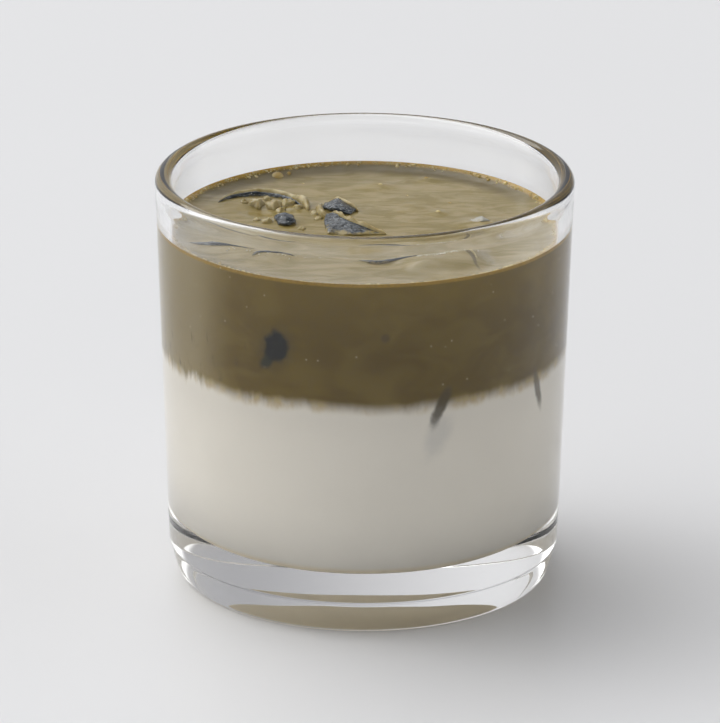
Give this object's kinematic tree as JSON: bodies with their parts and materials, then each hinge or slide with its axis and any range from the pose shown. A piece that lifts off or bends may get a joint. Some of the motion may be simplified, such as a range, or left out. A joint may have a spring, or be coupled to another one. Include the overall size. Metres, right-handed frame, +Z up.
{
  "type": "glass of layered iced milk tea",
  "caption": "Straight-sided thick-based drinking glass filled with milk below and brown milk tea above, with ice just under the level.",
  "frame": {"origin": "centre of the glass's foot, on the table", "axes": "+Z up along the glass's axis, -Y towards the viewer, +X to the viewer's right"},
  "size_m": [0.084, 0.084, 0.0839],
  "materials": {
    "clear_glass": "smooth, clear, colourless soda-lime glass with a fire-polished rim",
    "milk": "opaque white milk, slightly warm",
    "milk_tea": "cloudy khaki-brown roasted-tea milk, wet and glossy on top"
  },
  "bodies": {
    "root": {"glass": "clear_glass", "milk": "milk", "tea": "milk_tea"}
  },
  "joints": []
}
